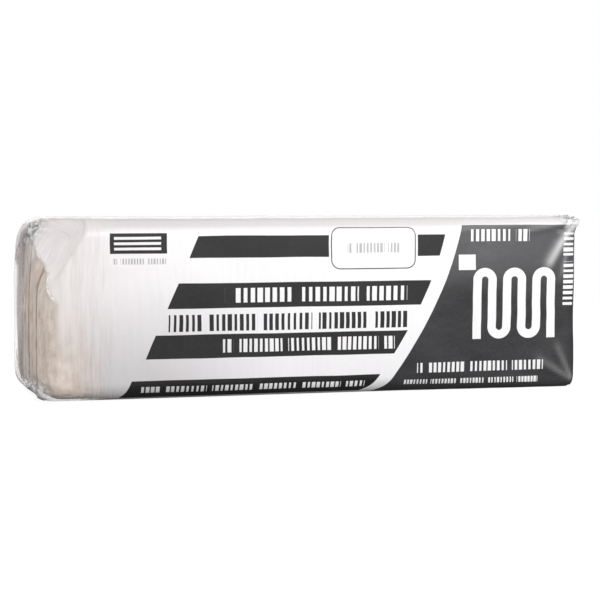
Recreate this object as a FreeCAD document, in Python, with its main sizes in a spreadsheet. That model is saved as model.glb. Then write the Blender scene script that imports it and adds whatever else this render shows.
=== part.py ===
"""A bagged bundle of kraft-faced glass-fibre insulation batts, on its long edge as it lies in a shop.

The batts are squeezed to a fifth of their laid thickness and packed in pairs with their paper facings
together, so that glass fibre is on both outer faces of the stack. A tight film bag closes round the
stack and ends in a flat heat-sealed fin at each end.

Row frame, millimetres: X along the batts, Y through the stack, Z up, with the origin in the middle of
the bag's underside. Every driving size is a cell of the spreadsheet "Sizes".
"""

import math
import os

import FreeCAD
import Part
import Sketcher

SIZES = {
    "batt_length": 1219.2,  # 48 in
    "batt_width": 406.4,  # 16 in, upright here
    "batt_thick": 49.0,  # squeezed from the 254 mm it springs back to
    "batt_pairs": 4,
    "blunt_end_radius": 50.0,  # corners of the end that is pushed in first, seen from the front
    "square_end_radius": 50.0,  # corners of the other end
    "edge_radius": 38.0,  # outer edges of the first and last batt
    "facing_thick": 0.4,  # kraft paper with its asphalt
    "flange_width": 25.4,  # stapling flange, folded back on each long side of a facing
    "layer_gap": 0.2,  # between neighbours that aren't bonded
    "film": 0.5,
    "film_gap": 0.5,  # between the stack and the film
    "seal_width": 25.0,
    "seal_inset": 40.0,  # the fin stops this far short of the bag's top and underside
}

SKIN = "(Sizes.film + Sizes.film_gap)"
PAIR_PITCH = "(2 * Sizes.batt_thick + 4 * Sizes.facing_thick + 2 * Sizes.layer_gap)"
STACK_DEPTH = f"(Sizes.batt_pairs * {PAIR_PITCH} - Sizes.layer_gap)"
# From the middle of a pair to the plane where a batt's glass fibre meets its facing.
BOND_OFFSET = "(Sizes.layer_gap / 2 + 2 * Sizes.facing_thick)"

SAME_PLANE = 1e-4

doc = FreeCAD.newDocument("insulation_bundle")
sheet = doc.addObject("Spreadsheet::Sheet", "Sizes")
for row, (alias, size) in enumerate(SIZES.items(), start=1):
    sheet.set(f"A{row}", alias)
    sheet.set(f"B{row}", str(size))
    sheet.setAlias(f"B{row}", alias)
doc.recompute()


def value(expression):
    """What an expression over the sheet comes to now, as a plain number."""
    return float(sheet.evalExpression(expression))


def new_body(name, y_place="0"):
    body = doc.addObject("PartDesign::Body", name)
    body.Label = name
    body.setExpression("Placement.Base.y", y_place)
    return body


def front_sketch(body, name):
    """A sketch on the body's own XZ plane: its x is the row's X and its y is the row's Z."""
    sketch = body.newObject("Sketcher::SketchObject", name)
    plane = next(f for f in body.Origin.OriginFeatures if f.Role == "XZ_Plane")
    sketch.AttachmentSupport = [(plane, "")]
    sketch.MapMode = "FlatFace"
    return sketch


def bind(sketch, constraint, expression):
    """Adds a dimension that follows the sheet."""
    index = sketch.addConstraint(constraint)
    sketch.setExpression(f"Constraints[{index}]", expression)


def add_outline(sketch, grow):
    """The stack's outline from the front: a rectangle with rounded corners, grown outwards by grow."""
    half = f"(Sizes.batt_length / 2 + {grow})"
    low = f"({SKIN} - {grow})"
    high = f"({SKIN} + Sizes.batt_width + {grow})"
    blunt = f"(Sizes.blunt_end_radius + {grow})"
    square = f"(Sizes.square_end_radius + {grow})"
    x, z0, z1, rb, rs = (value(e) for e in (half, low, high, blunt, square))
    lines = [
        ((-x + rb, z0), (x - rs, z0)),
        ((x, z0 + rs), (x, z1 - rs)),
        ((x - rs, z1), (-x + rb, z1)),
        ((-x, z1 - rb), (-x, z0 + rb)),
    ]
    for start, end in lines:
        sketch.addGeometry(Part.LineSegment(point(*start), point(*end)), False)
    corners = [
        (x - rs, z0 + rs, rs, -90, 0),
        (x - rs, z1 - rs, rs, 0, 90),
        (-x + rb, z1 - rb, rb, 90, 180),
        (-x + rb, z0 + rb, rb, 180, 270),
    ]
    for cx, cz, radius, turn_from, turn_to in corners:
        circle = Part.Circle(point(cx, cz), FreeCAD.Vector(0, 0, 1), radius)
        arc = Part.ArcOfCircle(circle, math.radians(turn_from), math.radians(turn_to))
        sketch.addGeometry(arc, False)
    for side in range(4):
        arc = 4 + side
        sketch.addConstraint(Sketcher.Constraint("Tangent", side, 2, arc, 1))
        sketch.addConstraint(Sketcher.Constraint("Tangent", arc, 2, (side + 1) % 4, 1))
    for flat in (0, 2):
        sketch.addConstraint(Sketcher.Constraint("Horizontal", flat))
    for upright in (1, 3):
        sketch.addConstraint(Sketcher.Constraint("Vertical", upright))
    sketch.addConstraint(Sketcher.Constraint("Equal", 4, 5))
    sketch.addConstraint(Sketcher.Constraint("Equal", 6, 7))
    bind(sketch, Sketcher.Constraint("Radius", 4, rs), square)
    bind(sketch, Sketcher.Constraint("Radius", 6, rb), blunt)
    bind(sketch, Sketcher.Constraint("DistanceX", -1, 1, 1, 1, x), half)
    bind(sketch, Sketcher.Constraint("DistanceX", 3, 1, -1, 1, x), half)
    bind(sketch, Sketcher.Constraint("DistanceY", -1, 1, 2, 1, z1), high)
    bind_height(sketch, 0, 1, z0, low)


def bind_height(sketch, line, end, height, expression):
    """A point's height over the row's XY plane. A point at height 0 lies on the x axis instead."""
    if height > SAME_PLANE:
        bind(sketch, Sketcher.Constraint("DistanceY", -1, 1, line, end, height), expression)
    else:
        sketch.addConstraint(Sketcher.Constraint("PointOnObject", line, end, -1))


def add_rectangle(sketch, left, right, low, high):
    """A rectangle whose four sides follow the sheet. left and right are signed positions along x."""
    x0, x1, z0, z1 = (value(e) for e in (left, right, low, high))
    first = sketch.GeometryCount
    ring = [(x0, z0), (x1, z0), (x1, z1), (x0, z1)]
    for side in range(4):
        start, end = ring[side], ring[(side + 1) % 4]
        sketch.addGeometry(Part.LineSegment(point(*start), point(*end)), False)
    for side in range(4):
        sketch.addConstraint(
            Sketcher.Constraint("Coincident", first + side, 2, first + (side + 1) % 4, 1))
        kind = "Horizontal" if side % 2 == 0 else "Vertical"
        sketch.addConstraint(Sketcher.Constraint(kind, first + side))
    bind(sketch, Sketcher.Constraint("DistanceX", -1, 1, first, 1, x0), left)
    bind(sketch, Sketcher.Constraint("DistanceX", -1, 1, first, 2, x1), right)
    bind(sketch, Sketcher.Constraint("DistanceY", -1, 1, first, 1, z0), low)
    bind(sketch, Sketcher.Constraint("DistanceY", -1, 1, first + 2, 1, z1), high)


def point(x, z):
    return FreeCAD.Vector(x, z, 0)


def pad(body, sketch, name, length, towards):
    """Pads a front sketch. towards is "front", "back" or "both", half each way."""
    feature = body.newObject("PartDesign::Pad", name)
    feature.Profile = sketch
    feature.setExpression("Length", length)
    if towards == "both":
        feature.SideType = "Symmetric"
    feature.Reversed = towards == "back"
    doc.recompute()
    return feature


def round_faces(body, base, name, planes, radius):
    """Rounds every edge of base that lies in one of these planes of constant y."""
    rounded = body.newObject("PartDesign::Fillet", name)
    edges = [
        f"Edge{number}"
        for number, edge in enumerate(base.Shape.Edges, start=1)
        if any(lies_in(edge, value(y)) for y in planes)
    ]
    rounded.Base = (base, edges)
    rounded.setExpression("Radius", radius)
    doc.recompute()
    return rounded


def lies_in(edge, y):
    box = edge.BoundBox
    return abs(box.YMin - y) < SAME_PLANE and abs(box.YMax - y) < SAME_PLANE


def make_batt(number, y_bond, towards, outermost):
    """The glass-fibre blanket of one batt, from its bonded side outwards."""
    body = new_body(f"batt_{number}", y_bond)
    outline = front_sketch(body, f"batt_{number}_outline")
    add_outline(outline, "0")
    blanket = pad(body, outline, f"batt_{number}_blanket", "Sizes.batt_thick", towards)
    if outermost:
        sign = "-" if towards == "front" else ""
        plane = f"{sign}Sizes.batt_thick"
        round_faces(body, blanket, f"batt_{number}_edge", [plane], "Sizes.edge_radius")
    return body


def make_facing(number, y_bond, towards):
    """The kraft paper bonded to one batt, with a flange folded back flat along each long side."""
    body = new_body(f"facing_{number}", y_bond)
    outline = front_sketch(body, f"facing_{number}_outline")
    add_outline(outline, "0")
    pad(body, outline, f"facing_{number}_paper", "Sizes.facing_thick", towards)
    flanges = front_sketch(body, f"facing_{number}_flanges")
    left = "(Sizes.blunt_end_radius - Sizes.batt_length / 2)"
    right = "(Sizes.batt_length / 2 - Sizes.square_end_radius)"
    top = f"({SKIN} + Sizes.batt_width)"
    add_rectangle(flanges, left, right, SKIN, f"({SKIN} + Sizes.flange_width)")
    add_rectangle(flanges, left, right, f"({top} - Sizes.flange_width)", top)
    pad(body, flanges, f"facing_{number}_fold", "2 * Sizes.facing_thick", towards)
    return body


def make_stack():
    """Pairs of batts, paper to paper. The first and last blanket have rounded outer edges."""
    pieces = []
    pairs = SIZES["batt_pairs"]
    for pair in range(pairs):
        middle = f"({pair} - (Sizes.batt_pairs - 1) / 2) * {PAIR_PITCH}"
        front, back = 2 * pair + 1, 2 * pair + 2
        y_front = f"{middle} - {BOND_OFFSET}"
        y_back = f"{middle} + {BOND_OFFSET}"
        pieces.append(make_batt(front, y_front, "front", pair == 0))
        pieces.append(make_facing(front, y_front, "back"))
        pieces.append(make_facing(back, y_back, "front"))
        pieces.append(make_batt(back, y_back, "back", pair == pairs - 1))
    return pieces


def make_envelope(name, grow):
    """The whole stack's rounded block, grown outwards by grow."""
    body = new_body(name)
    outline = front_sketch(body, f"{name}_outline")
    add_outline(outline, grow)
    block = pad(body, outline, f"{name}_block", f"{STACK_DEPTH} + 2 * {grow}", "both")
    face = f"({STACK_DEPTH} / 2 + {grow})"
    round_faces(body, block, f"{name}_edge", [face, f"-{face}"], f"Sizes.edge_radius + {grow}")
    return body


def add_seals(body):
    """A fin at each end, two films thick, in the bag's middle plane. The cavity trims its inner edge."""
    fins = front_sketch(body, "bag_fins")
    outer = f"(Sizes.batt_length / 2 + {SKIN} + Sizes.seal_width)"
    inner_blunt = "(Sizes.batt_length / 2 - Sizes.blunt_end_radius)"
    inner_square = "(Sizes.batt_length / 2 - Sizes.square_end_radius)"
    low = "Sizes.seal_inset"
    high = f"(Sizes.batt_width + 2 * {SKIN} - Sizes.seal_inset)"
    add_rectangle(fins, f"-{outer}", f"-{inner_blunt}", low, high)
    add_rectangle(fins, inner_square, outer, low, high)
    pad(body, fins, "bag_seals", "2 * Sizes.film", "both")


def make_bag():
    outside = make_envelope("bag_outside", SKIN)
    add_seals(outside)
    cavity = make_envelope("bag_cavity", "Sizes.film_gap")
    bag = doc.addObject("Part::Cut", "bag")
    bag.Label = "bag"
    bag.Base = outside
    bag.Tool = cavity
    doc.recompute()
    return bag


def check(pieces):
    for made in doc.Objects:
        if "Invalid" in made.State or "Error" in made.State:
            raise RuntimeError(f"{made.Label} failed to recompute: {made.State}")
    for piece in pieces:
        shape = piece.Shape
        if shape.isNull() or not shape.isValid() or len(shape.Solids) != 1:
            raise RuntimeError(f"{piece.Label} isn't one valid solid")


parts = [*make_stack(), make_bag()]
doc.recompute()
check(parts)
os.makedirs("parts", exist_ok=True)
for part in parts:
    part.Shape.exportStep(os.path.join("parts", f"{part.Label}.step"))
    box = part.Shape.BoundBox
    print(f"{part.Label}: {part.Shape.Volume / 1000:.1f} cm3, "
          f"{box.XLength:.1f} x {box.YLength:.1f} x {box.ZLength:.1f} mm")
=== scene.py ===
"""The looks of a bagged bundle of squeezed glass-fibre batts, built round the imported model.

Metres throughout. X runs along the batts, Y through the stack with the printed front at -Y, Z is up.
"""

import math

import bpy
import numpy as np
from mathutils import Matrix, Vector, noise


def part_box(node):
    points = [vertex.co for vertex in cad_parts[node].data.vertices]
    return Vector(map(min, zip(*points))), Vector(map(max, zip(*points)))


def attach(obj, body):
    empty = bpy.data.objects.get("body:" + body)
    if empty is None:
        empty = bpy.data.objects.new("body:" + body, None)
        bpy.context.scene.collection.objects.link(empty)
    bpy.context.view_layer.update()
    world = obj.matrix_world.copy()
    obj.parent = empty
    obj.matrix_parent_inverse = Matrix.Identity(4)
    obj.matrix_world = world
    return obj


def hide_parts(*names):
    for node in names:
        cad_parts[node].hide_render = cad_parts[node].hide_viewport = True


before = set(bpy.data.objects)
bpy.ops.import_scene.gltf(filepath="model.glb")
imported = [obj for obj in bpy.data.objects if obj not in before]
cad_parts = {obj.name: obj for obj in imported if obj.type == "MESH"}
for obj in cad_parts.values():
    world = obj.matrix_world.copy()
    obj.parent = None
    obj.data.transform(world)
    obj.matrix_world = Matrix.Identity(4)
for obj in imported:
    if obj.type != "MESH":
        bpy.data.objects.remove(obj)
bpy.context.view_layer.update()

# ------------------------------------------------------------------------------------ the glass fibre
# Eight blankets of bonded glass wool, squeezed to a fifth of their thickness. The cut ends show the
# wool's flat-lying layers as fine upright streaks, and each squeezed blanket bulges a little out of the
# stack's ends. The tight film presses the stack's corners into blunt flats.

STACK_LOW, STACK_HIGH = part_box("batt_4")
STACK_HALF_LENGTH = STACK_HIGH.x
STACK_MIDDLE = (STACK_LOW.z + STACK_HIGH.z) / 2
STACK_HALF_WIDTH = (STACK_HIGH.z - STACK_LOW.z) / 2
OUTER_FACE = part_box("batt_8")[1].y
BLUNT_RADIUS, SQUARE_RADIUS, LONG_EDGE_RADIUS = 0.042, 0.050, 0.038
BLANKET_SHRINK = 0.004  # kept clear of the film
BLANKET_EDGE, OUTER_EDGE = 0.007, 0.030  # the outer one is on the first and last blanket's outer face
BLANKET_BULGE = 0.003
BLANKET_SPACING, DEPTH_STEP = 0.010, 0.006  # between mesh points round the outline and through the stack
OPEN_FACE_RINGS, HIDDEN_FACE_RINGS = 16, 6
EDGE_STEPS = 6
BOND_GAP = 0.0005  # between the wool and the paper's face

SLUMP = np.array([1.015, 1.01, 0.975])  # the squeezed blankets spread, and the film draws their width in

# Each flat goes through three points, one on the fin, one on the upright edge and one on the long edge.
CORNER_FLATS = [
    ((-0.611, -0.030, 0.388), (-0.611, -0.190, 0.225), (-0.510, -0.201, 0.402)),
    ((-0.611, 0.100, 0.394), (-0.611, 0.192, 0.350), (-0.585, 0.201, 0.400)),
    ((0.611, 0.050, 0.400), (0.611, 0.190, 0.330), (0.580, 0.201, 0.402)),
    ((0.611, 0.100, 0.008), (0.611, 0.194, 0.045), (0.590, 0.201, 0.006)),
]
FLAT_SOFTNESS = 0.004
END_BULGE = 0.020  # how far the blunt end stands out
BULGE_PEAK = 0.38  # at this share of its height
BULGE_START = -0.44


def settle(points, clearance=0.0):
    """Presses the stack's corners onto their flats, less the clearance, and lets the blunt end bulge."""
    middle = np.array([0.0, 0.0, STACK_MIDDLE])
    for corner in CORNER_FLATS:
        a, b, c = (np.array(p) for p in corner)
        normal = np.cross(b - a, c - a)
        normal /= np.linalg.norm(normal)
        if normal @ (a - middle) < 0:
            normal = -normal
        beyond = (points - a) @ normal + clearance
        pressed = (beyond + np.sqrt(beyond**2 + FLAT_SOFTNESS**2)) / 2
        points = points - pressed[:, None] * normal
    x, y, z = points.T
    reach = np.clip((BULGE_START - x) / (STACK_HALF_LENGTH + BULGE_START), 0, 1.2) ** 1.6
    up = np.clip(z / (2 * STACK_MIDDLE), 0, 1)
    above = (up - BULGE_PEAK) / (1 - BULGE_PEAK)
    tall = np.where(up < BULGE_PEAK, 1 - np.abs(1 - up / BULGE_PEAK) ** 8, 1 - 0.75 * above**2)
    bulge = END_BULGE * reach * tall * (1 - 0.3 * (y / OUTER_FACE) ** 2)
    return points - np.outer(bulge, [1.0, 0.0, 0.0])


def unevenness(points, stretch, seed):
    """Smooth noise from -1 to 1 at each point, with its grain size along each axis."""
    scaled = points / np.array(stretch) + seed * 17.3
    return np.array([noise.noise(Vector(p)) for p in scaled])


def stack_outline(grow, spacing):
    """Points and outward normals round the stack's rounded front outline, as an (n, 4) array of x, z."""
    half_x, half_z = STACK_HALF_LENGTH + grow, STACK_HALF_WIDTH + grow
    blunt, square = BLUNT_RADIUS + grow, SQUARE_RADIUS + grow
    corners = [
        (half_x - square, half_z - square, square, 0),
        (-half_x + blunt, half_z - blunt, blunt, 90),
        (-half_x + blunt, -half_z + blunt, blunt, 180),
        (half_x - square, -half_z + square, square, 270),
    ]
    outline = []
    for number, (x, z, radius, start) in enumerate(corners):
        steps = max(4, round(radius * math.pi / 2 / spacing))
        for turn in np.radians(start + np.linspace(0, 90, steps + 1)):
            across, up = math.cos(turn), math.sin(turn)
            outline.append((x + radius * across, z + radius * up, across, up))
        next_x, next_z, next_radius, next_start = corners[(number + 1) % 4]
        turn = math.radians(next_start)
        across, up = math.cos(turn), math.sin(turn)
        end = np.array([next_x + next_radius * across, next_z + next_radius * up, across, up])
        begin = np.array(outline[-1])
        count = round(np.linalg.norm(end[:2] - begin[:2]) / spacing)
        for step in range(1, count):
            outline.append(tuple(begin + (end - begin) * step / count))
    return np.array(outline) + np.array([0, STACK_MIDDLE, 0, 0])


def add_mesh(name, points, faces):
    mesh = bpy.data.meshes.new(name)
    mesh.from_pydata(points.tolist(), [], faces)
    mesh.update()
    mesh.shade_smooth()
    piece = bpy.data.objects.new(name, mesh)
    bpy.context.scene.collection.objects.link(piece)
    return piece


def make_blanket(name, seed):
    """Rings round the outline, from the middle of one face, over both edges, to the middle of the other."""
    low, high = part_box(name)
    front_radius = OUTER_EDGE if low.y < -OUTER_FACE + 0.001 else BLANKET_EDGE
    back_radius = OUTER_EDGE if high.y > OUTER_FACE - 0.001 else BLANKET_EDGE
    y0, y1 = low.y + BOND_GAP, high.y - BOND_GAP
    if front_radius > BLANKET_EDGE:
        y0 += BLANKET_SHRINK
    if back_radius > BLANKET_EDGE:
        y1 -= BLANKET_SHRINK
    outline = stack_outline(-BLANKET_SHRINK, BLANKET_SPACING)
    face_rings = {True: OPEN_FACE_RINGS, False: HIDDEN_FACE_RINGS}
    stations = []  # how far in from the outline, where in depth, and how much of the face is left
    for turn in np.linspace(0, math.pi / 2, face_rings[front_radius > BLANKET_EDGE], endpoint=False)[1:]:
        stations.append((front_radius, y0, math.sin(turn)))
    for turn in np.radians(np.linspace(0, 90, EDGE_STEPS)):
        stations.append((front_radius * (1 - math.sin(turn)), y0 + front_radius * (1 - math.cos(turn)), 1))
    straight = y1 - back_radius - y0 - front_radius
    straight_steps = max(2, round(straight / DEPTH_STEP))
    for step in range(1, straight_steps):
        stations.append((0, y0 + front_radius + straight * step / straight_steps, 1))
    for turn in np.radians(np.linspace(90, 0, EDGE_STEPS)):
        stations.append((back_radius * (1 - math.sin(turn)), y1 - back_radius * (1 - math.cos(turn)), 1))
    for turn in np.linspace(0, math.pi / 2, face_rings[back_radius > BLANKET_EDGE], endpoint=False)[:0:-1]:
        stations.append((back_radius, y1, math.sin(turn)))
    rings = []
    for inset, y, share in stations:
        bulge = BLANKET_BULGE * math.sin(math.pi * (y - y0) / (y1 - y0)) * np.abs(outline[:, 2])
        out = bulge - inset
        x = share * (outline[:, 0] + outline[:, 2] * out)
        z = STACK_MIDDLE + share * (outline[:, 1] + outline[:, 3] * out - STACK_MIDDLE)
        rings.append(np.column_stack([x, np.full(len(x), y), z]))
    points = np.concatenate(rings)
    around = len(outline)
    faces = []
    for ring in range(len(rings) - 1):
        a, b = ring * around, (ring + 1) * around
        for step in range(around):
            after = (step + 1) % around
            faces.append((a + step, a + after, b + after, b + step))
    faces.append(tuple(range(around))[::-1])
    faces.append(tuple(range(len(points) - around, len(points))))
    tufts = 0.0010 * unevenness(points, (0.030, 0.020, 0.030), seed)
    tufts += 0.0005 * unevenness(points, (0.009, 0.006, 0.009), seed + 1)
    inward = points - np.array([0, (y0 + y1) / 2, STACK_MIDDLE])
    inward /= np.maximum(np.linalg.norm(inward, axis=1), 1e-6)[:, None]
    points = points + inward * tufts[:, None]
    return add_mesh(f"{name}_wool", settle(points, BLANKET_SHRINK) * SLUMP, faces)


class Wire:
    """An output socket of a material, with the arithmetic that it takes part in."""

    def __init__(self, tree, socket=None):
        self.tree = tree
        self.socket = socket

    def node(self, kind, settings=None, sockets=None, output=0):
        """Adds one node: its settings first, then its sockets' values or the wires that feed them."""
        made = self.tree.nodes.new(kind)
        for name, setting in (settings or {}).items():
            if name == "stops":
                self.set_stops(made.color_ramp, setting)
            else:
                setattr(made, name, setting)
        for name, fed in (sockets or {}).items():
            if isinstance(fed, Wire):
                self.tree.links.new(fed.socket, made.inputs[name])
            else:
                made.inputs[name].default_value = fed
        return Wire(self.tree, made.outputs[output]) if made.outputs else made

    @staticmethod
    def set_stops(ramp, stops):
        for number, (place, color) in enumerate(stops):
            stop = ramp.elements[number] if number < 2 else ramp.elements.new(place)
            stop.position = place
            stop.color = color

    def math(self, operation, *values):
        return self.node("ShaderNodeMath", {"operation": operation}, dict(enumerate(values)))

    def __add__(self, other):
        return self.math("ADD", self, other)

    def __sub__(self, other):
        return self.math("SUBTRACT", self, other)

    def __rsub__(self, other):
        return self.math("SUBTRACT", other, self)

    def __mul__(self, other):
        return self.math("MULTIPLY", self, other)

    def __truediv__(self, other):
        return self.math("DIVIDE", self, other)

    def __abs__(self):
        return self.math("ABSOLUTE", self)

    __radd__ = __add__
    __rmul__ = __mul__

    def both(self, other):
        return self.math("MINIMUM", self, other)

    def either(self, other):
        return self.math("MAXIMUM", self, other)

    def clamped(self):
        return self.node("ShaderNodeClamp", None, {"Value": self})

    def inside(self, softness=0.0008):
        """1 where a signed distance is negative and 0 where it is positive."""
        return (0.5 - self / softness).clamped()

    def ease(self, start, end):
        """0 at start, 1 at end, smoothly."""
        settings = {"interpolation_type": "SMOOTHSTEP"}
        return self.node("ShaderNodeMapRange", settings, {"Value": self, "From Min": start, "From Max": end})

    def noise(self, grain, detail=2.0, roughness=0.5, seed=0.0):
        """Noise from 0 to 1 over these coordinates, with its grain size along each axis in metres."""
        scale = tuple(1 / size for size in grain)
        placed = self.node(
            "ShaderNodeVectorMath", {"operation": "MULTIPLY_ADD"}, {0: self, 1: scale, 2: (seed, seed, seed)})
        sockets = {"Vector": placed, "Scale": 1.0, "Detail": detail, "Roughness": roughness}
        return self.node("ShaderNodeTexNoise", None, sockets)

    def tint(self, below, above):
        """The colour below where this is 0, and above where it is 1."""
        return self.node("ShaderNodeMix", {"data_type": "RGBA"}, {0: self, 6: below, 7: above}, output=2)


def new_material(name):
    material = bpy.data.materials.new(name)
    material.use_nodes = True
    return material, material.node_tree.nodes["Principled BSDF"], Wire(material.node_tree)


def feed(shader, name, wire):
    shader.id_data.links.new(wire.socket, shader.inputs[name])


def make_wool_material():
    material, shader, wire = new_material("glass_wool")
    place = wire.node("ShaderNodeTexCoord", output=3)
    layers = place.noise((0.030, 0.0022, 0.045), detail=3.0)
    clumps = place.noise((0.022, 0.014, 0.030), detail=4.0, roughness=0.6, seed=3.0)
    strands = place.noise((0.0016, 0.0011, 0.006), detail=3.0, roughness=0.7, seed=7.0)
    specks = place.noise((0.004, 0.004, 0.004), detail=1.0, seed=11.0).ease(0.66, 0.74)
    stains = place.noise((0.06, 0.028, 0.055), detail=3.0, roughness=0.6, seed=15.0).ease(0.47, 0.63)
    shade = layers * 0.34 + clumps * 0.48 + strands * 0.18
    wool = wire.node("ShaderNodeValToRGB", {"stops": [
        (0.34, (0.36, 0.27, 0.20, 1)),
        (0.62, (0.86, 0.77, 0.69, 1)),
        (0.46, (0.70, 0.59, 0.50, 1)),
        (0.80, (0.93, 0.88, 0.81, 1)),
    ]}, {"Fac": shade})
    wool = (stains * 0.45).tint(wool, (0.48, 0.36, 0.27, 1))
    feed(shader, "Base Color", (specks * 0.5).tint(wool, (0.30, 0.22, 0.15, 1)))
    relief = wire.node("ShaderNodeBump", None, {"Strength": 0.9, "Distance": 0.003, "Height": shade})
    feed(shader, "Normal", relief)
    shader.inputs["Roughness"].default_value = 0.95
    shader.inputs["Sheen Weight"].default_value = 0.25
    shader.inputs["Specular IOR Level"].default_value = 0.2
    return material


wool_material = make_wool_material()
for number in range(1, 9):
    blanket = make_blanket(f"batt_{number}", number)
    blanket.data.materials.append(wool_material)
    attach(blanket, "root")
    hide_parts(f"batt_{number}")

# -------------------------------------------------------------------------------------- the facings
# One sheet of asphalt-coated kraft paper is bonded to each blanket, with a stapling flange folded back
# along each long side. Only their brown edges show, as thin lines at the stack's ends.


def make_kraft_material():
    material, shader, wire = new_material("kraft")
    place = wire.node("ShaderNodeTexCoord", output=3)
    fibres = place.noise((0.012, 0.002, 0.0015), detail=4.0, roughness=0.7)
    blotches = place.noise((0.06, 0.06, 0.06), detail=2.0, seed=5.0)
    tone = fibres * 0.6 + blotches * 0.4
    feed(shader, "Base Color", tone.ease(0.3, 0.7).tint((0.35, 0.23, 0.135, 1), (0.54, 0.39, 0.255, 1)))
    feed(shader, "Roughness", 0.62 + 0.2 * blotches)
    relief = wire.node("ShaderNodeBump", None, {"Strength": 0.4, "Distance": 0.0006, "Height": fibres})
    feed(shader, "Normal", relief)
    return material


FLANGE = 0.0254
FLANGE_RAMP = 0.0006


def make_facing(name):
    """The paper's outline in rings, front and back, with the folded flanges' extra thickness on one side."""
    low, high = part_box(name)
    outline = stack_outline(-BLANKET_SHRINK / 2, 0.012)
    flange_side = low.y if abs(low.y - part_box(name.replace("facing", "batt"))[0].y) > 0.001 else high.y
    sheet_side = high.y if flange_side == low.y else low.y
    paper = (flange_side - sheet_side) / 2
    insets = (0.10, FLANGE + FLANGE_RAMP, FLANGE, 0.0)
    stations = [(inset, 0.0) for inset in insets] + [(inset, 1.0) for inset in reversed(insets)]
    rings = []
    for inset, over in stations:
        x = outline[:, 0] - outline[:, 2] * inset
        z = outline[:, 1] - outline[:, 3] * inset
        from_edge = STACK_HALF_WIDTH - np.abs(z - STACK_MIDDLE)
        doubled = (from_edge < FLANGE + FLANGE_RAMP / 2) & (np.abs(x) < STACK_HALF_LENGTH - BLUNT_RADIUS)
        thickness = paper * (1 + doubled)
        rings.append(np.column_stack([x, sheet_side + over * thickness, z]))
    points = np.concatenate(rings)
    around = len(outline)
    faces = []
    for ring in range(len(rings) - 1):
        a, b = ring * around, (ring + 1) * around
        for step in range(around):
            after = (step + 1) % around
            faces.append((a + step, a + after, b + after, b + step))
    faces.append(tuple(range(around))[::-1])
    faces.append(tuple(range(len(points) - around, len(points))))
    facing = add_mesh(f"{name}_paper", settle(points, BLANKET_SHRINK / 2) * SLUMP, faces)
    facing.data.set_sharp_from_angle(angle=math.radians(40))
    return facing


kraft_material = make_kraft_material()
for number in range(1, 9):
    facing = make_facing(f"facing_{number}")
    facing.data.materials.append(kraft_material)
    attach(facing, "root")
    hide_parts(f"facing_{number}")

# ------------------------------------------------------------------------------------------ the bag
# A tube of thin polyethylene, printed white and near-black, clear towards one end. It is drawn tight round
# the squeezed stack. At each end its top and underside are tucked in and folded along a diagonal, the front
# and back are drawn over the tucks, and all of them are heat-sealed together in one upright fin.

BAG_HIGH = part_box("bag")[1]
FIN = 0.025
FIN_INSET = 0.040
BAG_HALF_LENGTH = BAG_HIGH.x - FIN
BAG_HALF_DEPTH = BAG_HIGH.y
BAG_HEIGHT = BAG_HIGH.z
BAG_SKIN = 0.001  # film and gap, which its corners add to the stack's
FILM_STEP = 0.006
FIN_STEPS = 4
LAYER = 0.0007  # between folded layers of film
FOOT_CORNER = 0.021  # the film bags a little under the blunt end
SQUARE_CORNER = 0.017  # and it is drawn square over the other end

# Where the film is drawn tight in a ridge: from, to, how high, how wide and how pale it is painted, which is
# partly the film's stress-whitening and partly a painted highlight.
CREASES = [
    ((-0.615, -0.080, 0.378), (-0.572, -0.204, 0.205), 0.0060, 0.0090, 0.4),
    ((-0.628, -0.015, 0.360), (-0.622, -0.120, 0.270), 0.0020, 0.0060, 0.3),
    ((-0.620, -0.015, 0.045), (-0.604, -0.180, 0.110), 0.0030, 0.0070, 0.25),
    ((-0.600, -0.060, 0.392), (-0.480, -0.200, 0.340), 0.0025, 0.0080, 0.5),
    ((-0.600, -0.160, 0.300), (-0.420, -0.203, 0.300), 0.0020, 0.0100, 0.3),
    ((-0.625, 0.060, 0.372), (-0.612, 0.192, 0.235), 0.0035, 0.0060, 0.4),
    ((-0.620, 0.015, 0.045), (-0.604, 0.180, 0.130), 0.0030, 0.0070, 0.25),
    ((0.606, -0.200, 0.396), (0.530, -0.204, 0.268), 0.0060, 0.0120, 1.0),
    ((0.606, -0.195, 0.392), (0.572, -0.204, 0.240), 0.0030, 0.0060, 0.3),
    ((0.596, -0.200, 0.396), (0.470, -0.204, 0.372), 0.0025, 0.0060, 0.2),
    ((0.602, -0.200, 0.020), (0.500, -0.204, 0.085), 0.0025, 0.0100, 0.2),
    ((0.602, -0.200, 0.025), (0.560, -0.204, 0.120), 0.0025, 0.0090, 0.2),
    ((0.602, 0.200, 0.390), (0.530, 0.204, 0.290), 0.0045, 0.0080, 0.7),
    ((0.602, 0.200, 0.020), (0.510, 0.204, 0.090), 0.0025, 0.0100, 0.2),
    ((0.617, 0.010, 0.360), (0.612, 0.180, 0.300), 0.0030, 0.0080, 0.3),
    ((0.617, -0.010, 0.360), (0.612, -0.180, 0.290), 0.0030, 0.0080, 0.3),
    ((0.617, -0.010, 0.050), (0.612, -0.180, 0.120), 0.0030, 0.0080, 0.3),
]
# The film's gathered ears: place, reach and how deep the crumpling is. Their reach also spreads the painted
# glints.
EARS = [
    ((-0.618, -0.050, 0.380), 0.042, 0.0080),
    ((-0.612, -0.155, 0.028), 0.040, 0.0120),
    ((0.604, -0.175, 0.398), 0.034, 0.0070),
    ((0.616, 0.000, 0.386), 0.026, 0.0040),
    ((0.616, 0.000, 0.020), 0.026, 0.0030),
]


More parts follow.
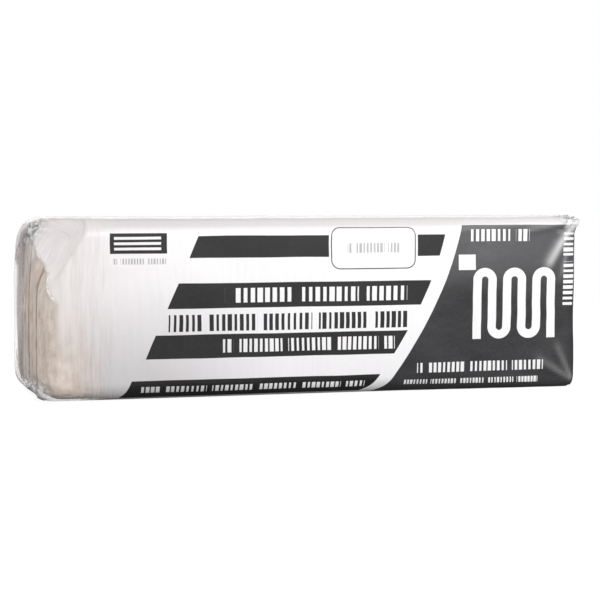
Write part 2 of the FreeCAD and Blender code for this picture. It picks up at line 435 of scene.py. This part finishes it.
def girth_stations():
    """Round the bag from the front's lower edge: depth, height and panel of each lengthwise thread."""
    upright = np.linspace(0, BAG_HEIGHT, round(BAG_HEIGHT / FILM_STEP), endpoint=False)
    threads = 2 * round(BAG_HALF_DEPTH / FILM_STEP)
    across = np.linspace(-BAG_HALF_DEPTH, BAG_HALF_DEPTH, threads, endpoint=False)
    stations = [(-BAG_HALF_DEPTH, z, "front") for z in upright]
    stations += [(y, BAG_HEIGHT, "top") for y in across]
    stations += [(BAG_HALF_DEPTH, BAG_HEIGHT - z, "back") for z in upright]
    stations += [(-y, 0.0, "under") for y in across]
    return stations


def length_stations():
    """Along the film from seal to seal: (end, body x, way past the end's edge, way out on the fin)."""
    flap_steps = round(BAG_HALF_DEPTH / FILM_STEP)
    body = np.linspace(-BAG_HALF_LENGTH, BAG_HALF_LENGTH, round(2 * BAG_HALF_LENGTH / FILM_STEP) + 1)
    past = [(BAG_HALF_DEPTH * step / flap_steps, 0.0) for step in range(1, flap_steps + 1)]
    past += [(BAG_HALF_DEPTH, FIN * step / FIN_STEPS) for step in range(1, FIN_STEPS + 1)]
    stations = [(-1, -BAG_HALF_LENGTH, way, out) for way, out in reversed(past)]
    stations += [(0, x, 0.0, 0.0) for x in body]
    stations += [(1, BAG_HALF_LENGTH, way, out) for way, out in past]
    return stations


def folded(end, x, way, out, y, z, panel):
    """Where a point of film goes on a sharp-edged box: its place, the layers under it and its way out."""
    if end == 0:
        return x, y, z, 0, 0.0
    if panel in ("front", "back"):
        side = -1 if panel == "front" else 1
        return x, side * max(BAG_HALF_DEPTH - way, 0.0), z, 3, out
    tuck = BAG_HALF_DEPTH - abs(y)
    side = -1 if y < 0 else 1
    depth, layer, across = (way, 1, y) if way <= tuck else (tuck, 2, side * (BAG_HALF_DEPTH - way))
    height = BAG_HEIGHT - depth if panel == "top" else depth
    return x, across, height, layer, out


def rounded(points):
    """The sharp box's surface drawn in to the bag's rounded corners and edges, with its outward normals."""
    middle = BAG_HEIGHT / 2
    x, y, z = points[:, 0], points[:, 1], points[:, 2] - middle
    corner = np.where(x < 0, np.where(z < 0, FOOT_CORNER, BLUNT_RADIUS + BAG_SKIN), SQUARE_CORNER)
    squarer = np.clip((x - 0.2) / 0.35, 0, 1)
    edge = LONG_EDGE_RADIUS + BAG_SKIN + (SQUARE_CORNER - LONG_EDGE_RADIUS - BAG_SKIN) * squarer
    over_x = np.maximum(np.abs(x) - (BAG_HALF_LENGTH - corner), 0)
    over_z = np.maximum(np.abs(z) - (middle - corner), 0)
    in_corner = (over_x > 0) & (over_z > 0)
    reach = np.maximum(over_x, over_z)
    length = np.maximum(np.hypot(over_x, over_z), 1e-9)
    shrink = np.where(in_corner, reach / length, 1)
    new_x = np.where(in_corner, np.sign(x) * (BAG_HALF_LENGTH - corner + over_x * shrink), x)
    new_z = np.where(in_corner, np.sign(z) * (middle - corner + over_z * shrink), z)
    from_side, from_top = BAG_HALF_LENGTH - np.abs(x), middle - np.abs(z)
    inside = np.where(in_corner, corner - reach, np.minimum(from_side, from_top))
    out_x = np.where(in_corner, over_x / length, np.where(from_side <= from_top, 1, 0)) * np.sign(x)
    out_z = np.where(in_corner, over_z / length, np.where(from_side <= from_top, 0, 1)) * np.sign(z)
    a = np.maximum(edge - inside, 0)
    c = np.maximum(np.abs(y) - (BAG_HALF_DEPTH - edge), 0)
    reach = np.maximum(a, c)
    length = np.maximum(np.hypot(a, c), 1e-9)
    shrink = np.where((a > 0) & (c > 0), reach / length, 1)
    new_x += out_x * (a * shrink - a)
    new_z += out_z * (a * shrink - a)
    new_y = np.where((a > 0) & (c > 0), np.sign(y) * (BAG_HALF_DEPTH - edge + c * shrink), y)
    normals = np.column_stack([out_x * a / length, np.sign(y) * c / length, out_z * a / length])
    return np.column_stack([new_x, new_y, new_z + middle]), normals


def crease_heights(points):
    """Height of the ridges at each point, and how pale they are painted: partly stress-whitening, partly a
    painted highlight.
    """
    height, white = np.zeros(len(points)), np.zeros(len(points))
    for start, end, tall, wide, whitening_and_highlight in CREASES:
        a, b = np.array(start), np.array(end)
        way = np.clip((points - a) @ (b - a) / ((b - a) @ (b - a)), 0, 1)
        depth = 0.12 if a[0] < -STACK_HALF_LENGTH else 1.0  # the blunt end bulges out past its creases
        away = np.linalg.norm((points - a - way[:, None] * (b - a)) * np.array([depth, 1, 1]), axis=1)
        ridge = np.exp(-((away / (wide * (0.7 + 0.6 * way))) ** 2)) * np.clip(4 * (1 - way), 0, 1)
        height += tall * ridge * (1 - 0.6 * way)
        white += whitening_and_highlight * ridge**2 * (1 - 0.5 * way)
    return height, white


def ear_crumple(points):
    """Depth of crumpling and how gathered the film is at each point."""
    depth, gathered = np.zeros(len(points)), np.zeros(len(points))
    for place, reach, deep in EARS:
        away = np.linalg.norm((points - np.array(place)) / np.array([1, 1.6, 1]), axis=1)
        near = np.exp(-((away / reach) ** 2))
        depth += deep * near
        gathered += near
    folds = 0.5 + 1.4 * unevenness(points, (0.018, 0.022, 0.018), 9)
    folds += 0.6 * unevenness(points, (0.008, 0.010, 0.008), 10)
    return depth * folds, np.clip(gathered, 0, 1)


def film_swell(points):
    """How far the film stands off the stack's plain form: pillows, ridges over the layers, and creases."""
    x, y, z = points.T
    left = np.clip((-0.30 - x) / 0.30, 0, 1)
    along, up = x / BAG_HALF_LENGTH, np.clip(z / BAG_HEIGHT, 0, 1)
    on_face = np.clip((np.abs(y) - 0.15) / 0.04, 0, 1)
    on_end = np.clip((np.abs(x) - 0.585) / 0.02, 0, 1)
    on_top = np.clip((z - 0.385) / 0.015, 0, 1) * (1 - on_end)
    swell = 0.0035 * on_face * np.clip(1 - along**2, 0, 1) * 4 * up * (1 - up)
    swell += 0.0050 * on_end * (x > 0) * (1 - (y / BAG_HALF_DEPTH) ** 2) * np.sin(math.pi * up) ** 0.7
    ridge = np.abs(np.sin(math.pi * y / 0.05)) ** 0.6
    swell += 0.0030 * on_end * ridge + 0.0016 * on_top * ridge
    swell += 0.0026 * unevenness(points, (0.26, 0.2, 0.17), 2) * (1 - 0.7 * on_top)
    swell += 0.0010 * unevenness(points, (0.075, 0.06, 0.10), 4)
    ripples = 1 - np.abs(unevenness(points, (0.010, 0.03, 0.16), 6))
    swell += (0.0003 + 0.0017 * left * on_face) * (ripples**3 - 0.3)
    swell += 0.0014 * on_end * (1 - np.abs(unevenness(points, (0.05, 0.012, 0.12), 8))) ** 2
    swell += crease_heights(points)[0] + ear_crumple(points)[0]
    return swell * np.clip(z / 0.03, 0, 1)


def make_bag():
    girth, length = girth_stations(), length_stations()
    places = np.array([
        folded(*along, *round_it) for along in length for round_it in girth
    ])
    sharp, layers, out = places[:, :3], places[:, 3], places[:, 4]
    plain, normals = rounded(sharp)
    points = settle(plain)
    pulled_in = np.linalg.norm((points - plain)[:, 1:], axis=1)
    spanning = np.clip((pulled_in - FLAT_SOFTNESS / 2) / 0.005, 0, 1)
    ridge_pale_and_highlight = np.clip(crease_heights(points)[1], 0, 1)
    gathered = np.maximum(ear_crumple(points)[1], 0.5 * (out > 0))
    points += normals * (film_swell(points) + LAYER * layers)[:, None]
    side = np.sign(places[:, 1] + 1e-6 * np.tile([s[0] for s in girth], len(length)))
    gather = np.where(np.abs(sharp[:, 1]) < LAYER * 4, np.where(layers == 1, 0.3, layers) * LAYER * side, 0)
    points[:, 1] += np.where(layers > 0, gather, 0)
    # The fin runs out from the folded film to a straight sealed edge, waving a little.
    end = np.sign(sharp[:, 0])
    edge_z = FIN_INSET + sharp[:, 2] / BAG_HEIGHT * (BAG_HEIGHT - 2 * FIN_INSET)
    share = out / FIN
    lean = 0.008 * np.sin(edge_z * 13 + end) * share + 0.003 * np.sin(edge_z * 49) * share**2
    edge_x = end * (BAG_HALF_LENGTH + FIN) - END_BULGE / 2 * (end < 0) * np.sin(math.pi * edge_z / BAG_HEIGHT)
    fin = np.column_stack([
        points[:, 0] + (edge_x - points[:, 0]) * share,
        points[:, 1] + lean,
        points[:, 2] + (edge_z - points[:, 2]) * share,
    ])
    points = np.where((share > 0)[:, None], fin, points)
    points[:, 2] = np.maximum(points[:, 2], 0.0003)
    around = len(girth)
    faces = []
    for row in range(len(length) - 1):
        a, b = row * around, (row + 1) * around
        for step in range(around):
            after = (step + 1) % around
            faces.append((a + step, b + step, b + after, a + after))
    bag = add_mesh("bag_film", points * SLUMP, faces)
    bag.data.set_sharp_from_angle(angle=math.radians(60))
    lay_out_film(bag, girth, length)
    for name, amount in (("ridge_pale_and_highlight", ridge_pale_and_highlight), ("gathered", gathered), ("spanning", spanning)):
        bag.data.attributes.new(name, "FLOAT", "POINT").data.foreach_set("value", amount.astype(np.float32))
    return bag


def film_length(station):
    end, x, way, out = station
    return x + end * (way + out)


def lay_out_film(bag, girth, length):
    """Where each point is on the flat tube: its way along, and its height on the front or back panel.

    On the tucked panels that height runs on past the long edges. A map of the tube, cut open along one
    edge, keeps the print flat."""
    height = {
        "front": lambda y, z: z,
        "back": lambda y, z: z,
        "top": lambda y, z: BAG_HEIGHT + BAG_HALF_DEPTH - abs(y),
        "under": lambda y, z: abs(y) - BAG_HALF_DEPTH,
    }
    along = np.array([film_length(s) for s in length])
    heights = np.array([height[panel](y, z) for y, z, panel in girth])
    sides = np.array([1.0 if y > 0 else -1.0 for y, z, panel in girth])
    flat = np.column_stack([
        np.repeat(along, len(girth)), np.tile(heights, len(length)), np.tile(sides, len(length))])
    places = bag.data.attributes.new("film_place", "FLOAT_VECTOR", "POINT")
    places.data.foreach_set("vector", flat.astype(np.float32).ravel())
    rows, columns = len(length) - 1, len(girth)
    u = (along - along[0]) / (along[-1] - along[0])
    corners = []
    for row in range(rows):
        for step in range(columns):
            v0, v1 = step / columns, (step + 1) / columns
            corners += [u[row], v0, u[row + 1], v0, u[row + 1], v1, u[row], v1]
    bag.data.uv_layers.new(name="OFBake").data.foreach_set("uv", corners)


def box_mask(along, height, x, low, high):
    """A rectangle of print, from x[0] to x[1] along the film and low to high up it."""
    across = abs(along - (x[0] + x[1]) / 2) - (x[1] - x[0]) / 2
    upright = abs(height - (low + high) / 2) - (high - low) / 2
    return across.either(upright).inside()


def bars(along, height, x, low, high, pitch, seed):
    """A row of plain upright bars of uneven widths, in groups."""
    cell = along / pitch
    number = cell.math("FLOOR", cell) + seed
    own = along.node("ShaderNodeTexWhiteNoise", {"noise_dimensions": "1D"}, {"W": number})
    half = own * 0.20 + 0.20
    bar = (abs(cell.math("FRACT", cell) - 0.5) - half) * pitch
    group = along / (pitch * 9.3) + seed * 0.37
    gap = (0.44 - abs(group.math("FRACT", group) - 0.5)) * pitch * 9.3
    return bar.either(0 - gap).inside().both(box_mask(along, height, x, low, high))


def make_film_material():
    material, shader, wire = new_material("printed_film")
    place = wire.node("ShaderNodeAttribute", {"attribute_name": "film_place"}, output=1)
    split = wire.node("ShaderNodeSeparateXYZ", None, {0: place})
    along = split
    height = Wire(split.tree, split.socket.node.outputs[1])
    wobble = place.noise((0.16, 0.08, 1.0), detail=1.0, seed=2.0) - 0.5
    along_print = along + wobble * 0.004
    height_print = height + wobble * 0.003

    # The dark block's curved edge, and the stripes that stop short of it.
    drop = 0.40 - height_print
    curve = 0.335 - 0.194 * drop - 0.726 * drop * drop
    block = (curve - along_print).inside().both((height_print - 0.391).inside())
    lowest = height_print.math("LESS_THAN", height_print, 0.06)
    slant = -0.270 - 0.43 * (0.385 - height_print) - 0.009 * lowest
    between = (slant - along_print).either(along_print - curve + 0.036)
    stripes = None
    for low, high in ((0.319, 0.369), (0.205, 0.262), (0.092, 0.146), (-0.016, 0.044)):
        band = (abs(height_print - (low + high) / 2) - (high - low) / 2).either(between).inside()
        stripes = band if stripes is None else stripes.either(band)
    # A bare rounded panel in the first stripe, with a thin outline.
    panel_x, panel_z = abs(along_print - 0.122) - 0.078, abs(height_print - 0.339) - 0.028
    rim = panel_x.either(0.0).math("POWER", panel_x.either(0.0), 2.0) + panel_z.either(0.0).math(
        "POWER", panel_z.either(0.0), 2.0)
    panel = rim.math("SQRT", rim) - 0.020
    stripes = stripes * (1 - (panel - 0.006).inside())
    outline = (abs(panel) - 0.0012).inside()
    # A plain framed panel of three bars at the clear end's side, and a row of dark bars below it.
    frame_box = box_mask(along_print, height_print, (-0.471, -0.347), 0.330, 0.376)
    for middle in (0.341, 0.353, 0.365):
        line = box_mask(along_print, height_print, (-0.462, -0.360), middle - 0.003, middle + 0.003)
        frame_box = frame_box * (1 - line)
    dark_rows = bars(along_print, height_print, (-0.345, 0.205), 0.153, 0.191, 0.0135, 3.0)
    small_rows = bars(along_print, height_print, (-0.466, -0.350), 0.306, 0.319, 0.0062, 5.0)
    small_rows = small_rows.either(bars(along_print, height_print, (0.062, 0.182), 0.328, 0.350, 0.0080, 8.0))
    black = stripes.either(outline).either(frame_box).either(dark_rows)

    # White bars in the stripes and the block, and the block's white winding band.
    white = bars(along_print, height_print, (-0.219, 0.201), 0.217, 0.250, 0.0165, 1.0)
    rows = [
        ((-0.226, 0.172), 0.104, 0.134, 0.0120, 2.0),
        ((-0.405, 0.102), 0.012, 0.030, 0.0110, 4.0),
        ((0.351, 0.498), 0.352, 0.380, 0.0130, 6.0),
        ((0.226, 0.533), 0.045, 0.068, 0.0110, 7.0),
        ((0.196, 0.520), 0.015, 0.029, 0.0075, 9.0),
    ]
    for x, low, high, pitch, seed in rows:
        white = white.either(bars(along_print, height_print, x, low, high, pitch, seed))
    white = white.either(box_mask(along_print, height_print, (0.325, 0.366), 0.285, 0.321))
    white = white.either(bars(height_print, along_print, (0.197, 0.372), 0.583, 0.614, 0.0130, 12.0))
    white = white.either(winding_band(along_print, height_print))
    ridge_pale_and_highlight = wire.node("ShaderNodeAttribute", {"attribute_name": "ridge_pale_and_highlight"}, output=2)
    gathered = wire.node("ShaderNodeAttribute", {"attribute_name": "gathered"}, output=2).ease(0.25, 0.95)
    spanning = wire.node("ShaderNodeAttribute", {"attribute_name": "spanning"}, output=2)
    ink_wear = place.noise((0.006, 0.006, 1.0), detail=3.0, seed=4.0)
    streaks = place.noise((0.0065, 0.10, 1.0), detail=2.0, seed=6.0)
    grey = place.noise((0.10, 0.05, 1.0), detail=3.0, seed=8.0)

    # The white film has painted shade towards its lower edge and over its top, and it turns clear towards the
    # blunt end. High on the front the clear film stands off the wool and looks milky, up to a ridge drawn
    # tight.
    clear = (along + (streaks - 0.5) * 0.10).ease(-0.440, -0.560)
    upright = height.math("LESS_THAN", height, BAG_HEIGHT)
    climb = 0.62 * (height - 0.22).either(0.0) + (height - 0.30).either(0.0)
    off_end = (along + 0.624 + upright * (climb - 0.047)).ease(-0.010, 0.010)
    drawn = 4 * off_end * (1 - off_end) * height.ease(0.19, 0.23) * upright
    milky = height.ease(0.00, 0.24) * off_end
    film = (streaks.ease(0.35, 0.75) * 0.35 + 0.3 * grey).tint((0.93, 0.92, 0.93, 1), (0.85, 0.83, 0.85, 1))
    film = (along.ease(-0.25, -0.48) * 0.8).tint(film, (0.91, 0.865, 0.88, 1))
    # Painted shade: darker low on the front, most towards the blunt end, and darker over the top.
    painted_lower_shade = height.ease(0.30, 0.03) * (0.12 + 0.75 * along.ease(-0.05, -0.40))
    film = painted_lower_shade.tint(film, (0.60, 0.58, 0.595, 1))
    film = (height.ease(0.376, 0.400) * 0.65).tint(film, (0.60, 0.565, 0.565, 1))
    film = (clear * 0.9).tint(film, (0.98, 0.935, 0.925, 1))
    # Painted glints and painted dark crumple shade on the gathered ears and the fins.
    glints = place.noise((0.013, 0.015, 1.0), detail=2.0, roughness=0.6, seed=13.0).ease(0.42, 0.60)
    film = (gathered * 0.85).tint(film, glints.tint((0.15, 0.155, 0.15, 1), (0.97, 0.97, 0.97, 1)))
    # The ridges and the drawn ridge on the front are painted pale: partly the film's stress-whitening, partly
    # a painted highlight.
    film = (ridge_pale_and_highlight.either(drawn) * 0.8).tint(film, (0.98, 0.97, 0.96, 1))
    wear = (ink_wear * 0.5 + 0.5 * grey).ease(0.25, 0.8)
    ink = wear.tint((0.007, 0.007, 0.008, 1), (0.017, 0.017, 0.018, 1))
    block_ink_and_sheen = wear.tint((0.026, 0.026, 0.028, 1), (0.050, 0.050, 0.053, 1))
    # Painted sheen: the block's ink is lighter on its upper part.
    block_ink_and_sheen = (height.ease(0.21, 0.33) * 0.6).tint(block_ink_and_sheen, (0.115, 0.115, 0.120, 1))
    color = (black * (1 - white)).tint(film, ink)
    color = (small_rows * 0.65).tint(color, (0.25, 0.25, 0.26, 1))
    # The ears' painted glints and the ridges' pale paint, partly stress-whitening and partly a painted
    # highlight, show through the block's ink.
    whitening_and_glints = (ridge_pale_and_highlight * 0.75).either(gathered * glints)
    color = (block * (1 - white) * (1 - whitening_and_glints)).tint(color, block_ink_and_sheen)
    feed(shader, "Base Color", color)

    printed = black.either(block).either(white * 0.9)
    cover = (1 - clear) + clear * (0.07 + 0.22 * streaks + 0.62 * milky)
    cover = cover.either(ridge_pale_and_highlight.either(drawn) * (0.45 + 0.5 * glints)).either(gathered * 0.75)
    cover = cover.either(spanning * off_end * (0.75 + 0.3 * streaks))
    feed(shader, "Alpha", cover.either(printed))
    feed(shader, "Roughness", 0.24 + 0.16 * grey + 0.22 * black)
    shader.inputs["Specular IOR Level"].default_value = 0.35
    fine = place.noise((0.0035, 0.02, 1.0), detail=2.0, seed=9.0)
    crinkle = place.noise((0.02, 0.03, 1.0), detail=3.0, roughness=0.6, seed=10.0)
    lift = crinkle * 0.7 + fine * 0.3 * along.ease(0.1, -0.5) + streaks * 0.2
    relief = wire.node("ShaderNodeBump", None, {"Strength": 0.35, "Distance": 0.002, "Height": lift})
    feed(shader, "Normal", relief)
    return material


BAND_TURNS = 5
BAND_PITCH = 0.0365
BAND_WIDTH = 0.0205
BAND_START = 0.370
BAND_LOW, BAND_HIGH = 0.121, 0.289


def winding_band(along, height):
    """A thick band that winds up and down, as a drawing's sign for insulation does."""
    bend = BAND_PITCH / 2
    middle = (BAND_LOW + BAND_HIGH) / 2
    top, bottom = BAND_HIGH - BAND_WIDTH / 2 - bend, BAND_LOW + BAND_WIDTH / 2 + bend
    to_top = (along - BAND_START - bend).math("PINGPONG", along - BAND_START - bend, BAND_PITCH)
    to_bottom = BAND_PITCH - to_top
    half = BAND_TURNS / 2 * BAND_PITCH
    off_middle = abs(along - BAND_START - half)
    between_feet = off_middle.math("LESS_THAN", off_middle, half - bend)
    rise, fall = (height - top).either(0.0), (bottom - height).either(0.0) * between_feet
    over = to_top * to_top + rise * rise
    under = to_bottom * to_bottom + fall * fall
    upper = abs(over.math("SQRT", over) - bend) - BAND_WIDTH / 2
    lower = abs(under.math("SQRT", under) - bend) - BAND_WIDTH / 2
    is_upper = height.math("GREATER_THAN", height, middle)
    band = upper * is_upper + lower * (1 - is_upper)
    return band.either(off_middle - half - BAND_WIDTH / 2).either(BAND_LOW - height).inside()


bag = make_bag()
bag.data.materials.append(make_film_material())
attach(bag, "root")
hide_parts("bag")

# ------------------------------------------------------------------------------- the floor and the light
# A wide plain floor, which is white to the camera and still takes the bag's shadow. Three long lamps
# stand round the bag: the key before its front, one past its blunt end and one behind it.

FLOOR_REACH = 30.0
AMBIENT = 0.50
LAMPS = [
    ("key", (0.7, -2.4, 1.05), 3.0, 0.9, 58.0),
    ("side", (-2.6, 0.6, 0.9), 1.2, 1.0, 20.0),
    ("back", (0.3, 2.6, 1.5), 3.0, 0.9, 24.0),
]


def make_floor():
    corners = [(-1, -1, 0), (1, -1, 0), (1, 1, 0), (-1, 1, 0)]
    floor = add_mesh("floor", FLOOR_REACH * np.array(corners), [(0, 1, 2, 3)])
    material, shader, wire = new_material("floor")
    shader.inputs["Base Color"].default_value = (0.30, 0.30, 0.30, 1)
    shader.inputs["Roughness"].default_value = 0.9
    shader.inputs["Specular IOR Level"].default_value = 0.0
    white = wire.node("ShaderNodeEmission", None, {"Color": (1, 1, 1, 1), "Strength": 0.85})
    lit = wire.node("ShaderNodeAddShader", None, {0: Wire(wire.tree, shader.outputs[0]), 1: white})
    seen = wire.node("ShaderNodeLightPath")
    shown = wire.node("ShaderNodeMixShader", None, {0: seen, 1: Wire(wire.tree, shader.outputs[0]), 2: lit})
    output = material.node_tree.nodes["Material Output"]
    material.node_tree.links.new(shown.socket, output.inputs["Surface"])
    floor.data.materials.append(material)


def light_up():
    world = bpy.data.worlds.new("studio")
    bpy.context.scene.world = world
    world.use_nodes = True
    wire = Wire(world.node_tree)
    background = world.node_tree.nodes["Background"]
    background.inputs["Color"].default_value = (1, 1, 1, 1)
    path = wire.node("ShaderNodeLightPath")
    through = Wire(path.tree, path.socket.node.outputs["Is Transmission Ray"])
    seen = path.either(through)
    world.node_tree.links.new((AMBIENT + (1 - AMBIENT) * seen).socket, background.inputs["Strength"])
    for name, spot, width, height, power in LAMPS:
        lamp = bpy.data.lights.new(name, "AREA")
        lamp.shape = "RECTANGLE"
        lamp.size, lamp.size_y = width, height
        lamp.energy = power
        holder = bpy.data.objects.new(name, lamp)
        bpy.context.scene.collection.objects.link(holder)
        holder.location = spot
        holder.rotation_euler = (Vector((0, 0, 0.25)) - Vector(spot)).to_track_quat("-Z", "Y").to_euler()


make_floor()
light_up()

# ----------------------------------------------------------------------------------------- the camera
# A long lens, about four metres before the front, turned a little from the blunt end and set just above
# the height of the bag's top.

camera_data = bpy.data.cameras.new("camera")
camera_data.lens = 106.0
camera = bpy.data.objects.new("camera", camera_data)
bpy.context.scene.collection.objects.link(camera)
camera.location = (-1.154, -3.995, 0.444)
camera.rotation_euler = (math.radians(90 - 3.32), 0, math.radians(-16.24))
bpy.context.scene.camera = camera
bpy.context.scene.view_settings.view_transform = "Standard"
